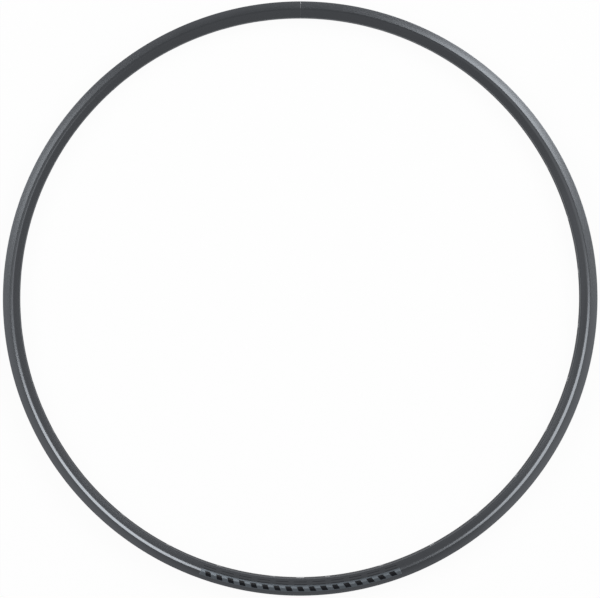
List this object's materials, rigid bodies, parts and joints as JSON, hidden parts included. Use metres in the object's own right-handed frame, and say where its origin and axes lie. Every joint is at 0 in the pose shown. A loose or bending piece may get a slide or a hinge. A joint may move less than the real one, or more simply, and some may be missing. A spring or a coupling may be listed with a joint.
{
  "type": "bicycle rim",
  "caption": "Bare double-wall bicycle rim: a black hooked alloy hoop with a valve hole, staggered spoke holes and a sleeved butt joint, for a spoked wheel with a clincher tyre.",
  "frame": {"origin": "the middle of the hoop: on the axle line, in the plane halfway between the two flanges", "axes": "+Z along the axle line, out of the face that the picture shows; -Y to the valve hole, +Y to the butt joint; the rim lies flat on its lower shoulder"},
  "size_m": [0.634, 0.6339, 0.0302],
  "materials": {
    "black_anodised": "satin black anodised, with fine extrusion lines round the hoop",
    "bare_aluminium": "plain mill finish"
  },
  "bodies": {
    "root": {"rim_hoop": "black_anodised", "joint_sleeve": "bare_aluminium"}
  },
  "joints": []
}
